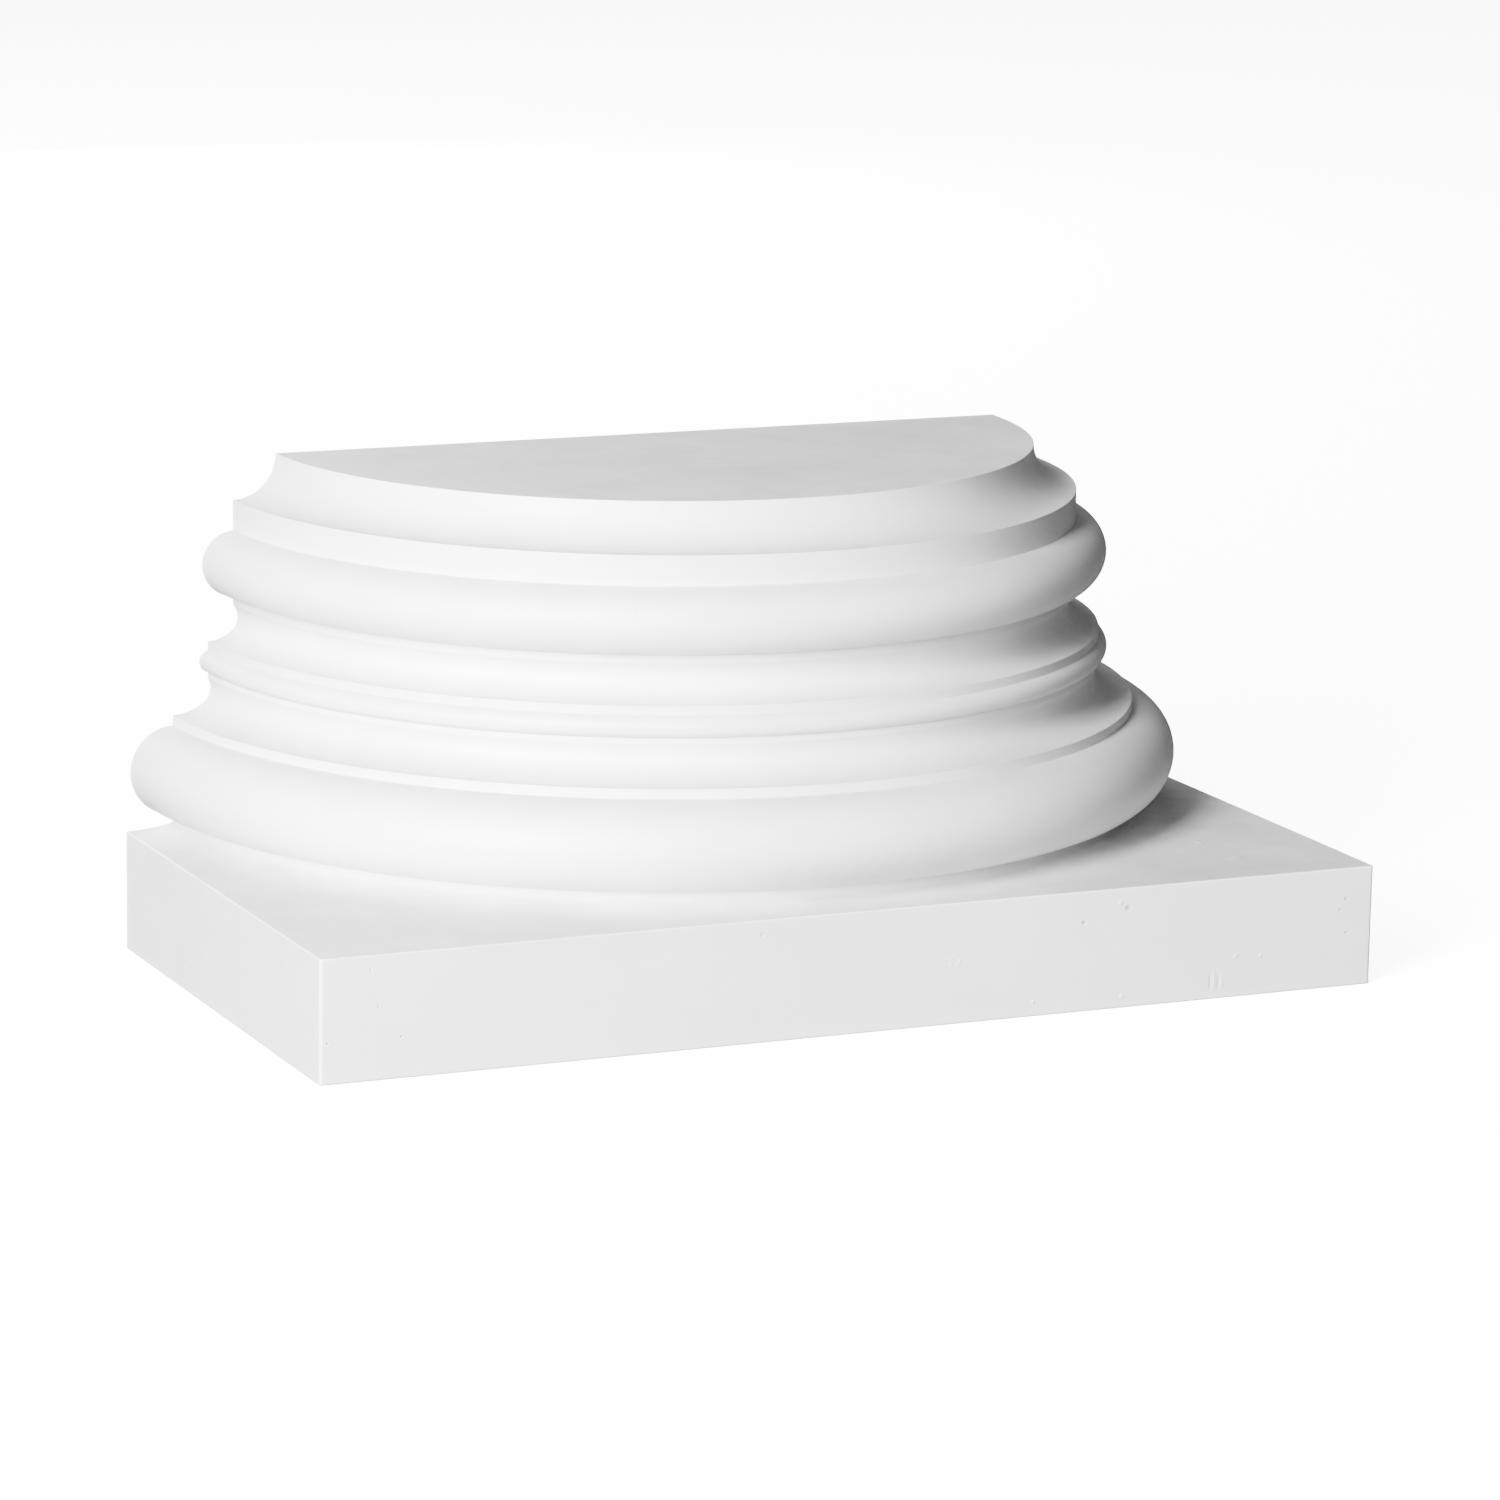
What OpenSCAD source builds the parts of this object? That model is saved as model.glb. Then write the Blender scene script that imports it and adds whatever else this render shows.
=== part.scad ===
// Half column base of the Attic type, moulded in one piece.
// A rectangular plinth carries half-round mouldings: cove, lower torus, fillet, scotia, fillet,
// bead, fillet, scotia, fillet, upper torus, cincture and cavetto. A half shaft stands on the top.
// The origin is the column's axis at the underside. The flat back is the plane y = 0, the front
// looks towards -y, and z points up. All sizes are in millimetres.

/* [Shaft] */
// Diameter of the round shaft that stands on the base
shaft_d = 300; // [240:10:600]

/* [Cincture and upper torus] */
// How far the cincture's upright face stands out from the shaft
cincture_out = 16.8; // [12:0.1:20]
// Height of the cincture, between the cavetto and the upper torus
cincture_h = 11.6; // [4:0.1:24]
// Radius of the upper torus' round
upper_torus_r = 12.5; // [9:0.1:18]
// How far the centre of that round lies behind the cincture's face
upper_torus_inset = 0.3; // [0.1:0.1:3]
// Height of the fillet under the upper torus
upper_fillet_h = 3.3; // [1:0.1:6]

/* [Scotias] */
// Radius of the tight upper part of each hollow
hollow_r = 7; // [4:0.1:8.4]
// How far the upper hollow runs in behind the fillet above it
upper_undercut = 1.8; // [0.5:0.1:3]
// How far the lower hollow runs in behind the fillet above it
lower_undercut = 1; // [0.5:0.1:3]

/* [Bead] */
// How far the bead's two fillets stand out from the shaft
bead_fillet_out = 26.8; // [22:0.1:32.2]
// Height of the fillet above the bead
bead_upper_fillet_h = 3.5; // [1:0.1:6]
// Radius of the bead
bead_r = 4.2; // [2:0.1:6]
// How far the bead's centre lies behind its fillets
bead_inset = 0.8; // [0.1:0.1:1.5]
// Height of the fillet below the bead
bead_lower_fillet_h = 2.3; // [1:0.1:6]

/* [Lower torus] */
// How far the fillet above the lower torus stands out from the shaft
lower_fillet_out = 40.6; // [36:0.1:52]
// Height of that fillet
lower_fillet_h = 3.9; // [1:0.1:6]
// Radius of the lower torus' round
lower_torus_r = 17.1; // [14:0.1:24]
// How far the centre of that round lies behind the fillet above it
lower_torus_inset = 0.3; // [0.1:0.1:3]

/* [Cove at the foot] */
// Height of the lower torus above the plinth
foot_h = 5.2; // [3:0.1:7]
// Radius of the tight inner part of the cove
cove_inner_r = 4; // [2:0.5:8]
// Radius of the shallow part that runs out on the plinth's top
cove_outer_r = 66; // [50:1:80]

/* [Plinth] */
// Height of the plinth
plinth_h = 45.5; // [20:0.5:120]
// How far the plinth stands out beyond the lower torus
plinth_reveal = 1.6; // [1.2:0.1:40]

/* [Hidden] */
$fn = 180;
PRIMER_WHITE = [0.92, 0.92, 0.91];

// Directions, out of the surface, at which a hollow changes from its tight to its wide arc
SCOTIA_TURN = [0.6, 0.8];
COVE_TURN = [0.28, 0.96];
// Lowest point of the cove's shallow arc: beyond the torus, and below the plinth's top
COVE_REACH = 2.5;
COVE_DIP = 0.03;
// How far neighbouring shapes run into each other, and how far the mouldings run into the plinth
LAP = 1;
SUNK = 5;

// Radii of the upright faces and of the lower torus, from the column's axis
shaft_r = shaft_d / 2;
cincture_r = shaft_r + cincture_out;
bead_fillet_r = shaft_r + bead_fillet_out;
lower_fillet_r = shaft_r + lower_fillet_out;
lower_torus_axis = lower_fillet_r - lower_torus_inset;
lower_torus_reach = lower_torus_axis + lower_torus_r;

cove_edge_r = lower_torus_reach + LAP;

// The plinth is half of a square
plinth_d = lower_torus_reach + plinth_reveal;
plinth_w = 2 * plinth_d;

// A scotia runs in behind the face above it to r_in, then down and out to the face at r_low. The
// wide arc's radius is kept to 0.01 mm, so that the two arcs meet in exactly one point.
upper_scotia_in = cincture_r - upper_undercut;
lower_scotia_in = bead_fillet_r - lower_undercut;
scotia_turn_drop = hollow_r * SCOTIA_TURN[1];
function scotia_wide_r(r_in, r_low) =
    round(100 * (r_low - r_in - hollow_r * (1 - SCOTIA_TURN[0])) / SCOTIA_TURN[0]) / 100;
function scotia_rise(undercut) = sqrt(hollow_r * hollow_r - pow(hollow_r - undercut, 2));
function scotia_drop(r_in, r_low) =
    scotia_turn_drop + scotia_wide_r(r_in, r_low) * (1 - SCOTIA_TURN[1]);

// Heights, from the underside up
z_torus_mid = plinth_h + foot_h + lower_torus_r;
z_lower_scotia = z_torus_mid + lower_torus_r + lower_fillet_h;
z_bead_fillet = z_lower_scotia + scotia_drop(lower_scotia_in, lower_fillet_r)
    + scotia_rise(lower_undercut);
z_bead_mid = z_bead_fillet + bead_lower_fillet_h + bead_r;
z_upper_scotia = z_bead_mid + bead_r + bead_upper_fillet_h;
z_upper_fillet = z_upper_scotia + scotia_drop(upper_scotia_in, bead_fillet_r)
    + scotia_rise(upper_undercut);
z_upper_torus_mid = z_upper_fillet + upper_fillet_h + upper_torus_r;
z_cavetto = z_upper_torus_mid + upper_torus_r + cincture_h;
z_top = z_cavetto + cincture_out;

// Upright band of the profile, from the axis out to r
module band(r, z_low, z_high) {
    translate([0, z_low])
        square([r, z_high - z_low]);
}

// Convex round of the profile
module bulge(r_axis, z_mid, r) {
    translate([r_axis, z_mid])
        circle(r);
}

// Half of a disc that touches the origin, cut along the line in direction dir through its centre
module half_disc(r, dir, side) {
    along = 2 * r * dir;
    across = 2 * r * side * [-dir[1], dir[0]];
    intersection() {
        translate(r * dir)
            circle(r);
        polygon([-along, 2 * along, 2 * along + across, across - along]);
    }
}

// Hollow of two arcs that run into each other at the origin: tight above it and wide below it
module compound_hollow(tight_r, wide_r, dir) {
    half_disc(tight_r, dir, 1);
    half_disc(wide_r, dir, -1);
}

// Scotia from the face at r_top in to r_in and out to the lip at r_low and z_low. The upright face
// below it runs down to z_from, and the one above it up to z_to.
module scotia(r_top, r_in, r_low, z_low, z_from, z_to) {
    turn_r = r_in + hollow_r * (1 - SCOTIA_TURN[0]);
    turn_h = scotia_drop(r_in, r_low) - scotia_turn_drop;
    translate([0, z_low + turn_h])
        difference() {
            union() {
                polygon([
                    [0, z_from - z_low - turn_h],
                    [r_low, z_from - z_low - turn_h],
                    [r_low, LAP - turn_h],
                    [turn_r, 0],
                    [turn_r, scotia_turn_drop],
                    [0, scotia_turn_drop]
                ]);
                band(r_top, 0, z_to - z_low - turn_h);
            }
            translate([turn_r, 0])
                compound_hollow(hollow_r, scotia_wide_r(r_in, r_low), SCOTIA_TURN);
        }
}

// Shallow cove that lifts the lower torus off the plinth
module cove() {
    turn_out = lower_torus_reach + COVE_REACH - cove_outer_r * COVE_TURN[0];
    turn_h = cove_outer_r * (1 - COVE_TURN[1]) - COVE_DIP;
    translate([turn_out, plinth_h + turn_h])
        difference() {
            polygon([
                [-turn_out, -turn_h - SUNK],
                [cove_edge_r - turn_out, -turn_h - SUNK],
                [cove_edge_r - turn_out, -turn_h],
                [0, 0],
                [0, z_torus_mid + LAP - plinth_h - turn_h],
                [-turn_out, z_torus_mid + LAP - plinth_h - turn_h]
            ]);
            compound_hollow(cove_inner_r, cove_outer_r, COVE_TURN);
        }
}

// Quarter hollow that leads from the cincture up to the shaft
module cavetto() {
    difference() {
        band(cincture_r, z_upper_torus_mid - LAP, z_top);
        bulge(cincture_r, z_top, cincture_out);
    }
}

// Half of the mouldings' cross-section, from inside the plinth to the bed of the shaft
module profile() {
    cove();
    bulge(lower_torus_axis, z_torus_mid, lower_torus_r);
    scotia(
        bead_fillet_r, lower_scotia_in, lower_fillet_r,
        z_lower_scotia, z_torus_mid, z_bead_mid + LAP
    );
    bulge(bead_fillet_r - bead_inset, z_bead_mid, bead_r);
    scotia(
        cincture_r, upper_scotia_in, bead_fillet_r,
        z_upper_scotia, z_bead_mid, z_upper_torus_mid
    );
    bulge(cincture_r - upper_torus_inset, z_upper_torus_mid, upper_torus_r);
    cavetto();
}

// Half-round mouldings, cut off flat at the back
module mouldings() {
    rotate([0, 0, 180])
        rotate_extrude(angle = 180)
            profile();
}

// Half of a square block, cut off flat at the back
module plinth() {
    translate([-plinth_d, -plinth_d, 0])
        cube([plinth_w, plinth_d, plinth_h]);
}

module column_base() {
    color(PRIMER_WHITE)
        union() {
            plinth();
            mouldings();
        }
}

column_base();
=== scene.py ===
"""Looks of the half column base: one moulding of rigid polyurethane foam in white primer."""

import math

import bmesh
import bpy
import numpy as np
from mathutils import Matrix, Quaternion, Vector, noise
from mathutils.geometry import delaunay_2d_cdt


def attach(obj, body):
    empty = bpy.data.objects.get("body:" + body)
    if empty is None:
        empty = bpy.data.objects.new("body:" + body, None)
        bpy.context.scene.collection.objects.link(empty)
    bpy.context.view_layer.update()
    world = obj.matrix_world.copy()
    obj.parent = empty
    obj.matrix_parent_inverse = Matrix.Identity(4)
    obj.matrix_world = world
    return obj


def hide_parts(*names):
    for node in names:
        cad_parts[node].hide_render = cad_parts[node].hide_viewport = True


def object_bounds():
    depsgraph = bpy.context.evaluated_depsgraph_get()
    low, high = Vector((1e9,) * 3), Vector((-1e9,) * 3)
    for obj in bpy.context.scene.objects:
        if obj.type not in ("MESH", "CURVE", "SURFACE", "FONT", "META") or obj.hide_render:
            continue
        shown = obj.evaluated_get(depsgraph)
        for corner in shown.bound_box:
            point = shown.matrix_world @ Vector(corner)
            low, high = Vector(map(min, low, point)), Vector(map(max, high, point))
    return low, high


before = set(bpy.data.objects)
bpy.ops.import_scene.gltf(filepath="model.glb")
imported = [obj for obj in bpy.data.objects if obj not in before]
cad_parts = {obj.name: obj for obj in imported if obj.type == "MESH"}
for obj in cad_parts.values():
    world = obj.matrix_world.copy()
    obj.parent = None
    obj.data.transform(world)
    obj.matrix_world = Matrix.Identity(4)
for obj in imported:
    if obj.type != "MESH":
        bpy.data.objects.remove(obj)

NODE = "column_base"
cad_low, cad_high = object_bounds()
MM = 0.001

# Sizes of the mouldings, the same as the part's own, in millimetres
CINCTURE_OUT = 16.8
CINCTURE_H = 11.6
UPPER_TORUS_R = 12.5
UPPER_TORUS_INSET = 0.3
UPPER_FILLET_H = 3.3
HOLLOW_R = 7.0
UPPER_UNDERCUT = 1.8
LOWER_UNDERCUT = 1.0
BEAD_FILLET_OUT = 26.8
BEAD_UPPER_FILLET_H = 3.5
BEAD_R = 4.2
BEAD_INSET = 0.8
BEAD_LOWER_FILLET_H = 2.3
LOWER_FILLET_OUT = 40.6
LOWER_FILLET_H = 3.9
LOWER_TORUS_R = 17.1
LOWER_TORUS_INSET = 0.3
FOOT_H = 5.2
PLINTH_REVEAL = 1.6
# Direction, out of the surface, in which a scotia changes from its tight to its wide arc
SCOTIA_TURN = (0.6, 0.8)

# The cove as it was cast, up to 0.6 mm hollower than the part's
COVE_INNER_R = 4.5
COVE_OUTER_R = 90.0
COVE_REACH = 2.5
COVE_DIP = 0.03
COVE_TURN_ANGLE = math.radians(11)
COVE_TURN = (math.sin(COVE_TURN_ANGLE), math.cos(COVE_TURN_ANGLE))

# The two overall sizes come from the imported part
PLINTH_D = cad_high.x / MM
TOP_Z = cad_high.z / MM
SHAFT_R = PLINTH_D - PLINTH_REVEAL - LOWER_TORUS_R + LOWER_TORUS_INSET - LOWER_FILLET_OUT
CINCTURE_R = SHAFT_R + CINCTURE_OUT
BEAD_FILLET_R = SHAFT_R + BEAD_FILLET_OUT
LOWER_FILLET_R = SHAFT_R + LOWER_FILLET_OUT
LOWER_TORUS_AXIS = LOWER_FILLET_R - LOWER_TORUS_INSET
LOWER_TORUS_REACH = LOWER_TORUS_AXIS + LOWER_TORUS_R

# How far the mould and the primer soften the lips and fill the inner corners
LIP_SPREAD = 0.28
PLINTH_EDGE_R = 0.7
PLINTH_CORNER_R = 1.4
BACK_EDGE_R = 0.22

# Rows of the mouldings: step of the drawn outline, turn from row to row, widest and closest
# spacing, how fast the spacing grows, and the turning that counts as none
DRAW_STEP = 0.05
ROW_TURN = math.radians(7.5)
ROW_MAX = 3.0
ROW_MIN = 0.12
ROW_GROWTH = 0.45
LEAST_TURNING = 1e-6
# The softening weights reach this many spreads to each side
SOFTEN_REACH = 4
# Rows of the plinth's top and upright faces. A row lies FLAT_HOLD from each rounded edge, so that
# the face beside it stays flat in its shading.
PLATE_ROWS = 9
PLATE_END = 0.98
UPRIGHT_ROWS = 14
FLAT_HOLD = 0.8
EDGE_TURNS = [math.radians(degrees) for degrees in (0, 18, 36, 54, 72, 90)]
CORNER_TURNS = [math.radians(degrees) for degrees in (0, 15, 30, 45, 60, 75, 90)]
BACK_TURNS = [math.radians(degrees) for degrees in (90, 60, 30, 0)]
# Columns: their step, and the least gap, in steps, to those at the plinth's corners
COLUMN_STEP_DEG = 0.86
COLUMN_GAP = 0.3
# Flat patches: width of the bed's rim of rows, size of the triangles, and in those sizes the
# height of a row of points, the offset of every row and of every second one, and the clear edge
RIM_WIDTH = 4
PATCH_CELL = 7.0
PATCH_ROW = 0.87
PATCH_OFFSET = 0.25
PATCH_STAGGER = 0.5
PATCH_CLEAR = 0.55
PATCH_TOLERANCE = 1e-5
LEAST_LENGTH_SQUARED = 1e-12

# Slight wave of the primed surface: how far it lies behind the true one, the length and height of
# each wave, and the width over which both fade out towards the back and the underside
SKIN_DEPTH = 0.2
WAVES = ((38.0, 0.05), (13.0, 0.012))
WAVE_FADE = 2.5

# Marks left by the mould and the primer: face, place across and up it, radius, depth. A depth
# below zero is a raised blister. On upright faces the place is x or y and z, on flat ones x and y.
PITS = (
    ("front", 106.0, 37.5, 1.5, 0.26),
    ("front", 88.0, 33.5, 1.1, 0.26),
    ("front", -206.0, 15.0, 0.6, 0.25),
    ("front", 197.5, 33.5, 0.9, 0.2),
    ("front", 195.0, 29.5, 0.7, 0.16),
    ("front", 198.0, 20.5, 0.8, 0.16),
    ("front", -41.0, 40.0, 1.2, 0.16),
    ("front", -190.0, 40.0, 0.5, 0.25),
    ("front", -187.0, 26.5, 0.5, 0.25),
    ("front", -178.5, 15.0, 0.6, 0.22),
    ("front", 103.0, 40.0, 1.2, -0.2),
    ("front", 151.6, 15.5, 1.1, -0.2),
    ("front", 162.0, 15.0, 0.9, -0.17),
    ("front", 104.5, 4.5, 1.2, -0.2),
    ("front", 68.0, 5.5, 1.0, -0.18),
    ("plinth_top", 84.0, -195.0, 1.2, 0.3),
    ("plinth_top", -138.5, -121.0, 0.6, 0.25),
    ("plinth_top", 21.5, -177.0, 0.6, -0.18),
    ("side", -66.5, 9.0, 0.8, 0.25),
)
# Burst blisters and wrinkles: face, place, radius of the ring, height of its ridge
RINGS = (
    ("front", 36.0, 23.5, 1.9, 0.13),
    ("plinth_top", 163.0, -154.0, 2.2, 0.18),
    ("plinth_top", 165.0, -179.0, 2.6, 0.2),
    ("plinth_top", -198.0, -191.5, 1.8, 0.16),
)
# Scuffs, straight and shallow: face, middle, degrees turned, half of length and width, depth
SCUFFS = (
    ("front", 141.0, 6.5, 90, 5.0, 0.7, 0.16),
    ("front", 142.7, 7.0, 90, 5.4, 0.7, -0.15),
    ("front", 144.4, 6.5, 90, 5.0, 0.7, 0.16),
    ("front", 146.0, 6.0, 90, 4.6, 0.7, -0.13),
    ("bed", -21.6, -106.2, -11, 16.5, 0.8, 0.14),
)
# A pit, in its radius and depth: its flat floor, its rim's height, place and width, and its reach
PIT_FLOOR = 0.3
PIT_RIM_HEIGHT = 0.12
PIT_RIM_AT = 1.25
PIT_RIM_WIDTH = 0.22
PIT_REACH = 1.8
# A ring, in its radius and height: its ridge's width, the even and the uneven part of its height,
# how quickly that varies on the way round, and its reach
RING_WIDTH = 0.2
RING_EVEN = 0.7
RING_UNEVEN = 0.9
RING_TURNS = 1.7
RING_REACH = 1.7
# The mesh near the marks: cells to a radius, margin round a scuff, how far out the faces are cut
# into triangles, and how often their edges are halved at most
MARK_CELLS = 2.0
MARK_MARGIN = 0.3
REFINE_SPARE = 4
REFINE_PASSES = 5
# Depth at which a pit is fully darkened, with dirt and painted shade
DIRT_AND_SHADE_DEPTH = 0.3
# Bend, per millimetre, at which a point starts to count as a lip or an inner corner, and fully does
FIRST_BEND = 0.3
FULL_BEND = 0.9
# A neighbour nearer than this, squared, counts as this far away
CLOSEST_SQUARED = 1e-4


# ---------------------------------------------------------------- outline of the mouldings

def on_circle(centre, radius, degrees):
    angle = math.radians(degrees)
    return (centre[0] + radius * math.cos(angle), centre[1] + radius * math.sin(angle))


class Outline:
    """Outline in the plane of radius and height, in millimetres, drawn from the top down."""

    def __init__(self, r, z):
        self.points = [(r, z)]

    def line(self, r, z):
        r0, z0 = self.points[-1]
        count = max(1, round(math.hypot(r - r0, z - z0) / DRAW_STEP))
        for i in range(1, count + 1):
            self.points.append((r0 + (r - r0) * i / count, z0 + (z - z0) * i / count))

    def arc(self, centre, radius, start, end):
        count = max(2, round(math.radians(abs(end - start)) * radius / DRAW_STEP))
        for i in range(1, count + 1):
            self.points.append(on_circle(centre, radius, start + (end - start) * i / count))

    def torus(self, axis_r, face_r, mid_z, radius):
        """Round that starts and ends on the upright faces at face_r."""
        lift = math.degrees(math.acos((face_r - axis_r) / radius))
        self.line(*on_circle((axis_r, mid_z), radius, lift))
        self.arc((axis_r, mid_z), radius, lift, -lift)

    def scotia(self, top_z, inner_r, undercut, low_r):
        """Tight arc that runs in behind the face above it, then a wide one out to low_r."""
        rise = math.sqrt(HOLLOW_R**2 - (HOLLOW_R - undercut) ** 2)
        centre = (inner_r + HOLLOW_R, top_z - rise)
        start = math.degrees(math.atan2(rise, undercut - HOLLOW_R))
        turn = 180 + math.degrees(math.atan2(SCOTIA_TURN[1], SCOTIA_TURN[0]))
        self.arc(centre, HOLLOW_R, start, turn)
        turn_r, turn_z = self.points[-1]
        wide_r = (low_r - turn_r) / SCOTIA_TURN[0]
        wide_centre = (low_r, turn_z + wide_r * SCOTIA_TURN[1])
        self.arc(wide_centre, wide_r, turn, 270)
        return self.points[-1][1]


def cove_height(r, plinth_h):
    """Height of the cove's shallow arc at radius r, and of the plinth's top beyond it."""
    lowest_r = LOWER_TORUS_REACH + COVE_REACH
    if r >= lowest_r:
        return plinth_h
    centre_z = plinth_h - COVE_DIP + COVE_OUTER_R
    return max(plinth_h, centre_z - math.sqrt(COVE_OUTER_R**2 - (lowest_r - r) ** 2))


def moulding_outline(start_r):
    """Outline from the bed of the shaft down to the foot of the cove, and the plinth's height."""
    path = Outline(start_r, TOP_Z)
    path.line(SHAFT_R, TOP_Z)
    path.arc((CINCTURE_R, TOP_Z), CINCTURE_OUT, 180, 270)
    mid_z = TOP_Z - CINCTURE_OUT - CINCTURE_H - UPPER_TORUS_R
    path.torus(CINCTURE_R - UPPER_TORUS_INSET, CINCTURE_R, mid_z, UPPER_TORUS_R)

    scotia_z = mid_z - UPPER_TORUS_R - UPPER_FILLET_H
    path.line(CINCTURE_R, scotia_z)
    lip_z = path.scotia(scotia_z, CINCTURE_R - UPPER_UNDERCUT, UPPER_UNDERCUT, BEAD_FILLET_R)

    bead_z = lip_z - BEAD_UPPER_FILLET_H - BEAD_R
    path.torus(BEAD_FILLET_R - BEAD_INSET, BEAD_FILLET_R, bead_z, BEAD_R)
    scotia_z = bead_z - BEAD_R - BEAD_LOWER_FILLET_H
    path.line(BEAD_FILLET_R, scotia_z)
    lip_z = path.scotia(scotia_z, BEAD_FILLET_R - LOWER_UNDERCUT, LOWER_UNDERCUT, LOWER_FILLET_R)

    mid_z = lip_z - LOWER_FILLET_H - LOWER_TORUS_R
    plinth_h = mid_z - LOWER_TORUS_R - FOOT_H
    torus = (LOWER_TORUS_AXIS, mid_z)
    lift = math.degrees(math.acos(LOWER_TORUS_INSET / LOWER_TORUS_R))
    path.line(*on_circle(torus, LOWER_TORUS_R, lift))

    # The torus ends where it meets the cove's tight arc, which runs on into the shallow one
    cove = (LOWER_TORUS_REACH + COVE_REACH, plinth_h - COVE_DIP + COVE_OUTER_R)
    spare_r = COVE_OUTER_R - COVE_INNER_R
    inner = (cove[0] - spare_r * COVE_TURN[0], cove[1] - spare_r * COVE_TURN[1])
    gap_r, gap_z = inner[0] - torus[0], inner[1] - torus[1]
    gap = math.hypot(gap_r, gap_z)
    towards = math.degrees(math.atan2(gap_z, gap_r))
    cos_torus = (LOWER_TORUS_R**2 + gap**2 - COVE_INNER_R**2) / (2 * LOWER_TORUS_R * gap)
    path.arc(torus, LOWER_TORUS_R, lift, towards - math.degrees(math.acos(cos_torus)))
    meet_r, meet_z = path.points[-1]
    start = math.degrees(math.atan2(meet_z - inner[1], meet_r - inner[0])) % 360
    turn = 180 + math.degrees(math.atan2(COVE_TURN[1], COVE_TURN[0]))
    path.arc(inner, COVE_INNER_R, start, turn)
    inward = cove[0] - LOWER_TORUS_REACH + FLAT_HOLD / 2
    end = 270 - math.degrees(math.asin(inward / COVE_OUTER_R))
    path.arc(cove, COVE_OUTER_R, turn, end)
    return np.array(path.points), plinth_h


def soften(points, spread):
    """Rounds every corner of a finely drawn outline, lips and inner corners alike."""
    steps = np.hypot(*np.diff(points, axis=0).T)
    along = np.concatenate([[0], np.cumsum(steps)])
    even = np.linspace(0, along[-1], round(along[-1] / DRAW_STEP) + 1)
    line = np.column_stack([np.interp(even, along, points[:, i]) for i in (0, 1)])
    half = round(SOFTEN_REACH * spread / DRAW_STEP)
    weights = np.exp(-0.5 * (np.arange(-half, half + 1) * DRAW_STEP / spread) ** 2)
    weights /= weights.sum()
    ahead = line[0] + (line[0] - line[1]) * np.arange(half, 0, -1)[:, None]
    after = line[-1] + (line[-1] - line[-2]) * np.arange(1, half + 1)[:, None]
    padded = np.vstack([ahead, line, after])
    return np.column_stack([np.convolve(padded[:, i], weights, "valid") for i in (0, 1)])


def choose_rows(line):
    """Thins the outline out: close rows where it turns quickly, wide ones where it is straight."""
    chords = np.diff(line, axis=0)
    heading = np.unwrap(np.arctan2(chords[:, 1], chords[:, 0]))
    turning = np.abs(np.gradient(heading)) / DRAW_STEP
    spacing = np.clip(ROW_TURN / np.maximum(turning, LEAST_TURNING), ROW_MIN, ROW_MAX)
    reach = round(ROW_MAX / DRAW_STEP)
    grow = ROW_GROWTH * DRAW_STEP * np.arange(1, reach)
    for i, extra in enumerate(grow, start=1):
        spacing[i:] = np.minimum(spacing[i:], spacing[:-i] + extra)
        spacing[:-i] = np.minimum(spacing[:-i], spacing[i:] + extra)
    count = np.concatenate([[0], np.cumsum(DRAW_STEP / spacing)])
    wanted = np.linspace(0, count[-1], round(count[-1]) + 1)
    return np.column_stack([np.interp(wanted, count, line[:, i]) for i in (0, 1)])


# ---------------------------------------------------------------- mesh

def square_reach(angle, half_width, corner_r):
    """Distance from the axis to the outline of a square with rounded corners."""
    across, along = abs(math.cos(angle)), abs(math.sin(angle))
    straight = half_width - corner_r
    side = half_width / max(across, along)
    if min(across, along) * side <= straight:
        return side
    middle = straight * (across + along)
    return middle + math.sqrt(max(0.0, corner_r**2 - 2 * straight**2 + middle**2))


def plinth_rows(plinth_h):
    """Rows of the plinth: (share of the way from the cove to the edge, inset, height)."""
    rows = []
    for i in range(1, PLATE_ROWS + 1):
        rows.append((i / PLATE_ROWS * PLATE_END, PLINTH_EDGE_R, plinth_h))
    edge = [
        (PLINTH_EDGE_R * (1 - math.sin(turn)), PLINTH_EDGE_R * (1 - math.cos(turn)))
        for turn in EDGE_TURNS
    ]
    for inset, fall in edge:
        rows.append((1, inset, plinth_h - fall))
    low = PLINTH_EDGE_R + FLAT_HOLD
    high = plinth_h - low
    for i in range(UPRIGHT_ROWS + 1):
        rows.append((1, 0, high + (low - high) * i / UPRIGHT_ROWS))
    for inset, rise in reversed(edge):
        rows.append((1, inset, rise))
    rows.append((1, PLINTH_EDGE_R + FLAT_HOLD, 0))
    return rows


def column_angles():
    """Angles of the mesh's columns: even, and close together at the plinth's upright edges."""
    straight = PLINTH_D - PLINTH_CORNER_R
    corner = []
    for turn in CORNER_TURNS:
        along = straight + PLINTH_CORNER_R * math.sin(turn)
        across = straight + PLINTH_CORNER_R * math.cos(turn)
        corner.append(math.atan2(along, across))
    hold = math.atan2(straight - FLAT_HOLD, PLINTH_D)
    corner += [hold, math.pi / 2 - hold]
    corner += [math.pi - a for a in corner]
    step = math.radians(COLUMN_STEP_DEG)
    even = [i * step for i in range(1, round(math.pi / step))]
    clear = [a for a in even if min(abs(a - c) for c in corner) > COLUMN_GAP * step]
    return sorted(clear + corner)


def back_steps():
    """Distance from the back, and how far the surface falls back there, round the back's edge."""
    steps = []
    for turn in BACK_TURNS:
        steps.append((BACK_EDGE_R * (1 - math.sin(turn)), BACK_EDGE_R * (1 - math.cos(turn))))
    steps.append((BACK_EDGE_R + FLAT_HOLD, 0))
    return steps


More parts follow.
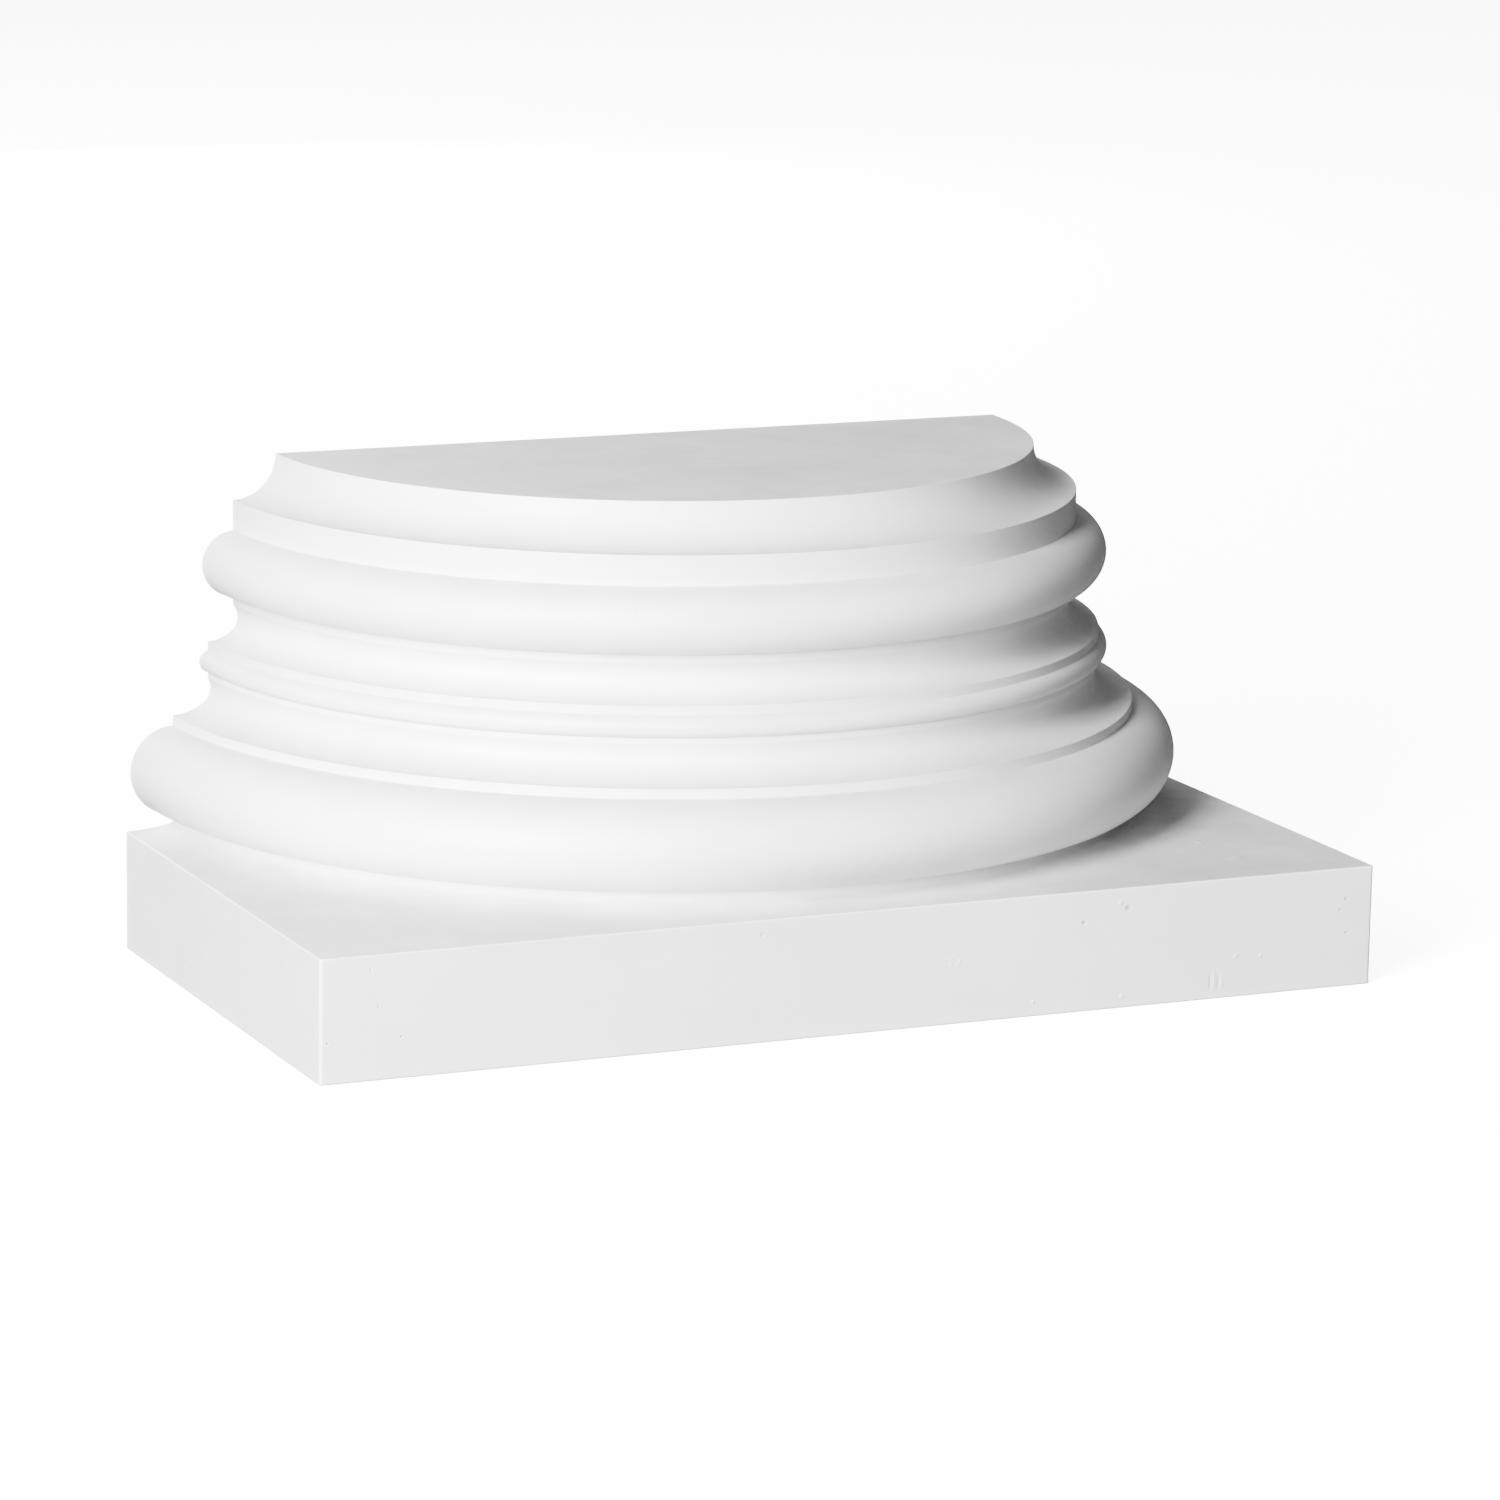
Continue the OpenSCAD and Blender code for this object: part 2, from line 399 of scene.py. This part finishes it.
def outward(line):
    """Outward normals of an outline that runs from the top down."""
    chords = np.diff(line, axis=0)
    chords /= np.linalg.norm(chords, axis=1)[:, None]
    slope = np.vstack([chords[:1], chords[:-1] + chords[1:], chords[-1:]])
    normals = np.column_stack([-slope[:, 1], slope[:, 0]])
    return normals / np.linalg.norm(normals, axis=1)[:, None]


class Body:
    """Closed mesh of the base, gathered as points in millimetres and faces between them."""

    def __init__(self):
        self.points = []
        self.faces = []

    def add(self, points):
        first = len(self.points)
        self.points.extend(points)
        return list(range(first, first + len(points)))

    def strip(self, one, other):
        for a, b, c, d in zip(one, one[1:], other[1:], other):
            self.faces.append((a, b, c, d))

    def patch(self, loop, drop_axis, level, cell):
        """Fills a flat loop with triangles of about cell in size."""
        keep = [i for i in range(3) if i != drop_axis]
        edge = np.array([[self.points[i][k] for k in keep] for i in loop])
        inner = inside_grid(edge, cell)
        flat = [Vector(p) for p in np.vstack([edge, inner])]
        around = [(i, (i + 1) % len(loop)) for i in range(len(loop))]
        made = delaunay_2d_cdt(flat, around, [], 1, PATCH_TOLERANCE)
        ids = list(loop)
        for p in inner:
            full = np.insert(p, drop_axis, level)
            ids += self.add([tuple(full)])
        names = [ids[origins[0]] for origins in made[3]]
        self.faces.extend(tuple(names[i] for i in face) for face in made[2])


def inside_grid(edge, cell):
    """Staggered grid of points inside a closed outline, clear of its edge."""
    low, high = edge.min(0), edge.max(0)
    rows = []
    for j in range(int((high[1] - low[1]) / (cell * PATCH_ROW)) + 1):
        y = low[1] + cell * PATCH_ROW * (j + 0.5)
        x = np.arange(low[0] + cell * (PATCH_OFFSET + PATCH_STAGGER * (j % 2)), high[0], cell)
        rows.append(np.column_stack([x, np.full_like(x, y)]))
    grid = np.vstack(rows)
    inside = np.zeros(len(grid), bool)
    nearest = np.full(len(grid), np.inf)
    for (ax, ay), (bx, by) in zip(edge, np.roll(edge, -1, axis=0)):
        crosses = (ay > grid[:, 1]) != (by > grid[:, 1])
        if ay != by:
            at = ax + (grid[:, 1] - ay) / (by - ay) * (bx - ax)
            inside ^= crosses & (grid[:, 0] < at)
        run = np.array([bx - ax, by - ay])
        t = np.clip(((grid - (ax, ay)) @ run) / max(run @ run, LEAST_LENGTH_SQUARED), 0, 1)
        away = grid - (ax, ay) - t[:, None] * run
        nearest = np.minimum(nearest, np.hypot(away[:, 0], away[:, 1]))
    return grid[inside & (nearest > PATCH_CLEAR * cell)]


def build_points():
    """The whole base: rows round the mouldings and the plinth, closed by three flat patches."""
    drawn, plinth_h = moulding_outline(SHAFT_R - RIM_WIDTH)
    lathe = choose_rows(soften(drawn, LIP_SPREAD))
    square = plinth_rows(plinth_h)
    cove_end = lathe[-1, 0]
    angles = column_angles()
    back = back_steps()

    def ring(row, angle):
        """Reach and height of a row along one column."""
        if row < len(lathe):
            return lathe[row]
        share, inset, height = square[row - len(lathe)]
        edge = square_reach(angle, PLINTH_D - inset, max(PLINTH_CORNER_R - inset, 0))
        reach = cove_end + (edge - cove_end) * share
        if share < 1:
            height = cove_height(reach, plinth_h)
        return reach, height

    body = Body()
    row_count = len(lathe) + len(square)
    side_line = np.array([ring(row, 0) for row in range(row_count)])
    side_out = outward(side_line)
    columns = []

    def back_column(sign, y, fall):
        line = side_line - fall * side_out
        x = np.sqrt(line[:, 0] ** 2 - y**2)
        return body.add([(sign * xi, -y, zi) for xi, zi in zip(x, line[:, 1])])

    for y, fall in back:
        columns.append(back_column(-1, y, fall))
    for angle in angles:
        points = []
        for row in range(row_count):
            reach, height = ring(row, angle)
            points.append((-reach * math.cos(angle), -reach * math.sin(angle), height))
        columns.append(body.add(points))
    for y, fall in reversed(back):
        columns.append(back_column(1, y, fall))
    for one, other in zip(columns, columns[1:]):
        body.strip(one, other)

    def flat_end(row, upward):
        """Flat face at the top or underneath, with its softened back edge."""
        x_end = side_line[row, 0]
        level = side_line[row, 1]
        count = round(2 * x_end / PATCH_CELL)
        inner_x = [x_end * (2 * i / count - 1) for i in range(1, count)]
        lines = []
        for k, (y, fall) in enumerate(back):
            z = level - upward * fall
            middle = body.add([(x, -y, z) for x in inner_x])
            lines.append([columns[k][row], *middle, columns[-1 - k][row]])
        for one, other in zip(lines, lines[1:]):
            body.strip(one, other)
        arc = [column[row] for column in columns[len(back):-len(back)]]
        body.patch(lines[-1] + arc[::-1], 2, level, PATCH_CELL)
        return lines[0]

    top_line = flat_end(0, 1)
    low_line = flat_end(row_count - 1, -1)
    back_loop = columns[0] + low_line[1:-1] + columns[-1][::-1] + top_line[-2:0:-1]
    body.patch(back_loop, 1, 0, PATCH_CELL)
    return body, plinth_h


def on_face(face, across, up, plinth_h):
    """Point of a mark in millimetres, from its place on one of the flat faces."""
    if face == "front":
        return Vector((across, -PLINTH_D, up))
    if face == "side":
        return Vector((-PLINTH_D, across, up))
    return Vector((across, up, TOP_Z if face == "bed" else plinth_h))


def smooth_step(t):
    t = np.clip(t, 0.0, 1.0)
    return t * t * (3 - 2 * t)


class Mark:
    """One small mark: where it is, how far it reaches, and its relief."""

    def __init__(self, centre, half, cell, relief):
        self.centre = centre
        self.half = half
        self.cell = cell
        self.relief = relief

    def near(self, points, spare=0.0):
        return np.all(np.abs(points - self.centre) <= np.array(self.half) + spare, axis=1)


def pit(centre, radius, depth):
    """Round hollow with a faint raised rim, or a blister where the depth is below zero."""
    def relief(offset):
        d = offset.length / radius
        rim = PIT_RIM_HEIGHT * depth * math.exp(-((d - PIT_RIM_AT) / PIT_RIM_WIDTH) ** 2)
        return rim - depth * (1 - smooth_step((d - PIT_FLOOR) / (1 - PIT_FLOOR)))
    reach = PIT_REACH * radius
    return Mark(centre, (reach,) * 3, radius / MARK_CELLS, relief)


def ring_mark(centre, radius, height):
    """Raised ring, uneven on its way round."""
    def relief(offset):
        around = noise.noise(offset.normalized() * RING_TURNS + centre) if offset.length > 0 else 0
        ridge = math.exp(-((offset.length / radius - 1) / RING_WIDTH) ** 2)
        return height * (RING_EVEN + RING_UNEVEN * around) * ridge
    reach = RING_REACH * radius
    return Mark(centre, (reach,) * 3, radius / (2 * MARK_CELLS), relief)


def scuff(centre, up_axis, turn, half_long, half_wide, depth):
    """Straight mark, turned from the face's across direction towards its up direction."""
    along = Vector((math.cos(turn), 0, 0))
    along[up_axis] = math.sin(turn)
    aside = Vector((-math.sin(turn), 0, 0))
    aside[up_axis] = math.cos(turn)

    def relief(offset):
        far = abs(offset.dot(along)) / half_long
        wide = abs(offset.dot(aside)) / half_wide
        return -depth * (1 - smooth_step(far)) * (1 - smooth_step(wide))
    half = [abs(along[i]) * half_long + abs(aside[i]) * half_wide + MARK_MARGIN for i in range(3)]
    return Mark(centre, half, half_wide / MARK_CELLS, relief)


def make_marks(plinth_h):
    marks = []
    for face, across, up, radius, depth in PITS:
        marks.append(pit(on_face(face, across, up, plinth_h), radius, depth))
    for face, across, up, radius, height in RINGS:
        marks.append(ring_mark(on_face(face, across, up, plinth_h), radius, height))
    for face, across, up, turn, half_long, half_wide, depth in SCUFFS:
        centre = on_face(face, across, up, plinth_h)
        up_axis = 2 if face == "front" else 1
        marks.append(scuff(centre, up_axis, math.radians(turn), half_long, half_wide, depth))
    return marks


def vertex_points(bm):
    bm.verts.index_update()
    return np.array([vert.co[:] for vert in bm.verts])


def refine(bm, marks):
    """Divides the mesh near the marks until it can carry them. The mesh is in millimetres."""
    middles = np.array([face.calc_center_median()[:] for face in bm.faces])
    close = np.any([mark.near(middles, REFINE_SPARE) for mark in marks], axis=0)
    bm.faces.ensure_lookup_table()
    bmesh.ops.triangulate(bm, faces=[bm.faces[i] for i in np.flatnonzero(close)])
    for _ in range(REFINE_PASSES):
        points = vertex_points(bm)
        ends = np.array([(edge.verts[0].index, edge.verts[1].index) for edge in bm.edges])
        lengths = np.linalg.norm(points[ends[:, 0]] - points[ends[:, 1]], axis=1)
        middles = points[ends].mean(axis=1)
        chosen = np.zeros(len(ends), bool)
        for mark in marks:
            chosen |= (lengths > mark.cell) & mark.near(middles, 0.5 * lengths[:, None])
        if not chosen.any():
            break
        bm.edges.ensure_lookup_table()
        long_edges = [bm.edges[i] for i in np.flatnonzero(chosen)]
        bmesh.ops.subdivide_edges(
            bm, edges=long_edges, cuts=1, use_grid_fill=True, use_single_edge=True,
        )
        # New points in one face are joined first, so that no triangle lies flat along an edge
        fresh = list(bm.verts)[len(points):]
        bmesh.ops.connect_verts(bm, verts=fresh)
        touched = dict.fromkeys(face for vert in fresh for face in vert.link_faces)
        bmesh.ops.triangulate(bm, faces=list(touched))


def weather(bm, marks):
    """Moves the surface by its slight wave and its marks, and never out of the true shape.
    Writes how dark each point is with dirt and painted shade, darker the deeper it lies, for the
    finish.
    """
    bm.normal_update()
    dirt_and_shade = bm.verts.layers.float.new("dirt_and_shade")
    points = vertex_points(bm)
    moves = np.full(len(points), -SKIN_DEPTH)
    for i, vert in enumerate(bm.verts):
        moves[i] += sum(height * noise.noise(vert.co / length) for length, height in WAVES)
    bm.verts.ensure_lookup_table()
    for mark in marks:
        for i in np.flatnonzero(mark.near(points)):
            relief = mark.relief(Vector(points[i]) - mark.centre)
            moves[i] += relief
            # The deeper a point lies in a pit or scuff, the darker it is: dirt with painted shade
            bm.verts[i][dirt_and_shade] = max(bm.verts[i][dirt_and_shade], smooth_step(-relief / DIRT_AND_SHADE_DEPTH))
    fade = smooth_step(-points[:, 1] / WAVE_FADE) * smooth_step(points[:, 2] / WAVE_FADE)
    for vert, move in zip(bm.verts, np.minimum(moves, 0) * fade):
        vert.co += vert.normal * move


def note_edges(bm):
    """Writes how sharply the surface bends outwards or inwards at each point, for the finish: its
    roughness, its painted highlight on the lips and its painted shade in the inner corners.
    """
    bm.normal_update()
    lip = bm.verts.layers.float.new("lip")
    hollow = bm.verts.layers.float.new("hollow")
    for vert in bm.verts:
        bend = 0.0
        for edge in vert.link_edges:
            away = edge.other_vert(vert).co - vert.co
            bend -= 2 * vert.normal.dot(away) / max(away.length_squared, CLOSEST_SQUARED)
        bend /= len(vert.link_edges)
        vert[lip] = smooth_step((bend - FIRST_BEND) / (FULL_BEND - FIRST_BEND))
        vert[hollow] = smooth_step((-bend - FIRST_BEND) / (FULL_BEND - FIRST_BEND))


def make_mesh():
    body, plinth_h = build_points()
    mesh = bpy.data.meshes.new("moulding")
    mesh.from_pydata(body.points, [], body.faces)
    bm = bmesh.new()
    bm.from_mesh(mesh)
    bmesh.ops.recalc_face_normals(bm, faces=bm.faces)
    marks = make_marks(plinth_h)
    refine(bm, marks)
    weather(bm, marks)
    note_edges(bm)
    bmesh.ops.scale(bm, vec=(MM, MM, MM), verts=bm.verts)
    for face in bm.faces:
        face.smooth = True
    bm.to_mesh(mesh)
    bm.free()
    return mesh


# ---------------------------------------------------------------- finish

# Sizes in metres and layers of the primer's clouds, of its mottling and of its orange peel, and
# the heights of the last two
CLOUD_SIZE = 0.036
MOTTLE_SIZE = 0.008
GRAIN_SIZE = 0.0011
CLOUD_DETAIL = 3
GRAIN_DETAIL = 2
MOTTLE_HEIGHT = 0.00002
GRAIN_HEIGHT = 0.000012
# A face counts as level from where its normal's upward share passes this
LEVEL_FROM = 0.9
# Lightness of the primer, and what each noise, a lip, an inner corner and dirt add to it: on a lip
# a painted highlight, in an inner corner painted shade, in a pit dirt with painted shade
WHITE = 0.80
CLOUD_TONE = 0.05
LEVEL_CLOUD_TONE = 0.16
MOTTLE_TONE = 0.03
LEVEL_MOTTLE_TONE = 0.08
GRAIN_TONE = 0.03
# The lips' lightening is a painted highlight
LIP_HIGHLIGHT = 0.06
# The inner corners' darkening is painted shade
HOLLOW_SHADE = -0.12
# The darkening of pits and deep scuffs is dirt together with painted shade
DIRT_AND_SHADE_TONE = -0.22
# Roughness of the primer, and what each noise, a lip and an inner corner add to it
SATIN = 0.5
CLOUD_SATIN = 0.15
MOTTLE_SATIN = 0.10
LIP_SATIN = -0.08
HOLLOW_SATIN = 0.08


class Nodes:
    """Node tree of a material or of the world, built up from noises and sums."""

    def __init__(self, owner, shader_name):
        owner.use_nodes = True
        self.tree = owner.node_tree
        self.shader = self.tree.nodes[shader_name]

    def put(self, socket, value):
        if isinstance(value, bpy.types.NodeSocket):
            self.tree.links.new(value, socket)
        else:
            socket.default_value = value

    def node(self, kind, **inputs):
        made = self.tree.nodes.new(kind)
        for name, value in inputs.items():
            self.put(made.inputs[name], value)
        return made

    def sum(self, operation, *values, clamp=False):
        made = self.tree.nodes.new("ShaderNodeMath")
        made.operation = operation
        made.use_clamp = clamp
        for socket, value in zip(made.inputs, values):
            self.put(socket, value)
        return made.outputs[0]

    def noise(self, size, detail):
        """Cloudy value round 0, with clouds of about size in metres."""
        place = self.node("ShaderNodeTexCoord").outputs["Object"]
        cloud = self.node("ShaderNodeTexNoise", Vector=place, Scale=1 / size, Detail=detail)
        return self.sum("SUBTRACT", cloud.outputs[0], 0.5)

    def attribute(self, name):
        made = self.node("ShaderNodeAttribute")
        made.attribute_name = name
        return made.outputs["Fac"]

    def blend(self, start, *terms):
        """Start plus the sum of each value times its share."""
        total = start
        for value, share in terms:
            total = self.sum("MULTIPLY_ADD", value, share, total)
        return total


def primer():
    """White satin primer over the moulded foam: clouded by its coats, worn smooth on the lips. Its
    lips are lightened as a painted highlight, its inner corners darkened as painted shade, and its
    pits darkened by dirt with painted shade.
    """
    material = bpy.data.materials.new("primed_polyurethane")
    finish = Nodes(material, "Principled BSDF")
    clouds = finish.noise(CLOUD_SIZE, CLOUD_DETAIL)
    mottle = finish.noise(MOTTLE_SIZE, CLOUD_DETAIL)
    grain = finish.noise(GRAIN_SIZE, GRAIN_DETAIL)
    lip = finish.attribute("lip")
    hollow = finish.attribute("hollow")
    dirt_and_shade = finish.attribute("dirt_and_shade")

    # The primer settles unevenly on the faces that lay level while it dried
    normal = finish.node("ShaderNodeNewGeometry").outputs["Normal"]
    up = finish.node("ShaderNodeSeparateXYZ", Vector=normal).outputs["Z"]
    gain = 1 / (1 - LEVEL_FROM)
    level = finish.sum("MULTIPLY_ADD", up, gain, -gain * LEVEL_FROM, clamp=True)
    cloud_share = finish.blend(CLOUD_TONE, (level, LEVEL_CLOUD_TONE))
    mottle_share = finish.blend(MOTTLE_TONE, (level, LEVEL_MOTTLE_TONE))

    # Painted highlight on the lips, painted shade in the inner corners, dirt with painted shade in
    # the pits
    tone = finish.blend(
        WHITE, (clouds, cloud_share), (mottle, mottle_share), (grain, GRAIN_TONE),
        (lip, LIP_HIGHLIGHT), (hollow, HOLLOW_SHADE), (dirt_and_shade, DIRT_AND_SHADE_TONE),
    )
    roughness = finish.blend(
        SATIN, (clouds, CLOUD_SATIN), (mottle, MOTTLE_SATIN),
        (lip, LIP_SATIN), (hollow, HOLLOW_SATIN),
    )
    finish.put(finish.shader.inputs["Base Color"], tone)
    finish.put(finish.shader.inputs["Roughness"], roughness)

    peel = finish.node("ShaderNodeBump", Height=grain, Distance=GRAIN_HEIGHT).outputs[0]
    ripple = finish.node("ShaderNodeBump", Height=mottle, Distance=MOTTLE_HEIGHT, Normal=peel)
    finish.put(finish.shader.inputs["Normal"], ripple.outputs[0])
    return material


# ---------------------------------------------------------------- stage

# The camera: where it stands round the front and above it, its roll, its distance in metres, its
# lens and sensor in millimetres, and how far below the middle of the base it aims
VIEW_AZIMUTH = math.radians(24.3575)
VIEW_ELEVATION = math.radians(12.212)
VIEW_ROLL = math.radians(1.0652)
VIEW_DISTANCE = 2.3151
VIEW_LENS = 149.081
VIEW_SENSOR = 36
AIM_DROP = 0.01005
VIEW_GAMMA = 0.8

# The floor: half its width in metres, its mesh, its lightness, roughness and own glow
FLOOR_REACH = 20
FLOOR_CELLS = 8
FLOOR_TONE = 0.85
FLOOR_ROUGHNESS = 0.9
FLOOR_GLOW = 2.2
# The world: what the camera sees of it, its light all round, and what the front adds to that
BACKDROP = 3.2
AMBIENT = 0.144
FRONT_LIGHT = 0.292
# Name, azimuth from the front and elevation in degrees, distance, width and height in metres,
# power in watts
SOFTBOXES = (
    ("key", -50, 20, 2.5, 0.8, 1.8, 133.1),
    ("low_key", -50, 8, 2.5, 0.8, 0.8, 22.2),
    ("back", 180, 30, 3.0, 2.4, 2.4, 25.0),
    ("rear", 180, 8, 2.5, 1.4, 0.7, 22.0),
)


def make_camera():
    data = bpy.data.cameras.new("camera")
    data.lens = VIEW_LENS
    data.sensor_width = VIEW_SENSOR
    camera = bpy.data.objects.new("camera", data)
    bpy.context.scene.collection.objects.link(camera)
    aim = (cad_low + cad_high) / 2 - Vector((0, 0, AIM_DROP))
    flat = math.cos(VIEW_ELEVATION)
    ahead = Vector((
        math.sin(VIEW_AZIMUTH) * flat, math.cos(VIEW_AZIMUTH) * flat, -math.sin(VIEW_ELEVATION),
    ))
    camera.location = aim - ahead * VIEW_DISTANCE
    camera.rotation_mode = "QUATERNION"
    camera.rotation_quaternion = ahead.to_track_quat("-Z", "Y") @ Quaternion((0, 0, 1), VIEW_ROLL)
    bpy.context.scene.camera = camera


def make_floor():
    """Plain white sweep, lit a little from within, that throws no light back on the base."""
    mesh = bpy.data.meshes.new("floor")
    bm = bmesh.new()
    bmesh.ops.create_grid(bm, x_segments=FLOOR_CELLS, y_segments=FLOOR_CELLS, size=FLOOR_REACH)
    bm.to_mesh(mesh)
    bm.free()
    floor = bpy.data.objects.new("floor", mesh)
    bpy.context.scene.collection.objects.link(floor)
    floor.visible_diffuse = False
    floor.visible_glossy = False
    material = bpy.data.materials.new("floor")
    mesh.materials.append(material)
    sweep = Nodes(material, "Principled BSDF").shader.inputs
    sweep["Base Color"].default_value = (FLOOR_TONE, FLOOR_TONE, FLOOR_TONE, 1)
    sweep["Roughness"].default_value = FLOOR_ROUGHNESS
    sweep["Specular IOR Level"].default_value = 0.0
    sweep["Emission Color"].default_value = (1, 1, 1, 1)
    sweep["Emission Strength"].default_value = FLOOR_GLOW


def softbox(name, azimuth, elevation, distance, width, height, power):
    """Area light that looks at the middle of the base."""
    data = bpy.data.lights.new(name, "AREA")
    data.shape = "RECTANGLE"
    data.size = width
    data.size_y = height
    data.energy = power
    lamp = bpy.data.objects.new(name, data)
    bpy.context.scene.collection.objects.link(lamp)
    a, e = math.radians(azimuth), math.radians(elevation)
    away = Vector((math.sin(a) * math.cos(e), -math.cos(a) * math.cos(e), math.sin(e)))
    lamp.location = (cad_low + cad_high) / 2 + away * distance
    lamp.visible_camera = False
    lamp.rotation_mode = "QUATERNION"
    lamp.rotation_quaternion = (-away).to_track_quat("-Z", "Y")


def make_world():
    """Dim light all round, stronger from the front. The camera sees it as white as the floor."""
    world = bpy.data.worlds.new("studio")
    bpy.context.scene.world = world
    sky = Nodes(world, "Background")
    across = sky.node("ShaderNodeTexCoord").outputs["Generated"]
    ahead = sky.node("ShaderNodeSeparateXYZ", Vector=across).outputs["Y"]
    front = sky.sum("MAXIMUM", sky.sum("MULTIPLY", ahead, -1.0), 0.0)
    light = sky.blend(AMBIENT, (front, FRONT_LIGHT))
    seen = sky.node("ShaderNodeLightPath").outputs["Is Camera Ray"]
    mixed = sky.node("ShaderNodeMix", A=light, B=BACKDROP, Factor=seen)
    sky.put(sky.shader.inputs["Color"], (1, 1, 1, 1))
    sky.put(sky.shader.inputs["Strength"], mixed.outputs["Result"])


make_camera()
make_floor()
make_world()
for light in SOFTBOXES:
    softbox(*light)
bpy.context.scene.view_settings.view_transform = "AgX"
bpy.context.scene.view_settings.look = "AgX - Very High Contrast"
bpy.context.scene.view_settings.gamma = VIEW_GAMMA

mesh = make_mesh()
mesh.materials.append(primer())
moulding = bpy.data.objects.new("half_column_base", mesh)
bpy.context.scene.collection.objects.link(moulding)
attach(moulding, "root")
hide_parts(NODE)
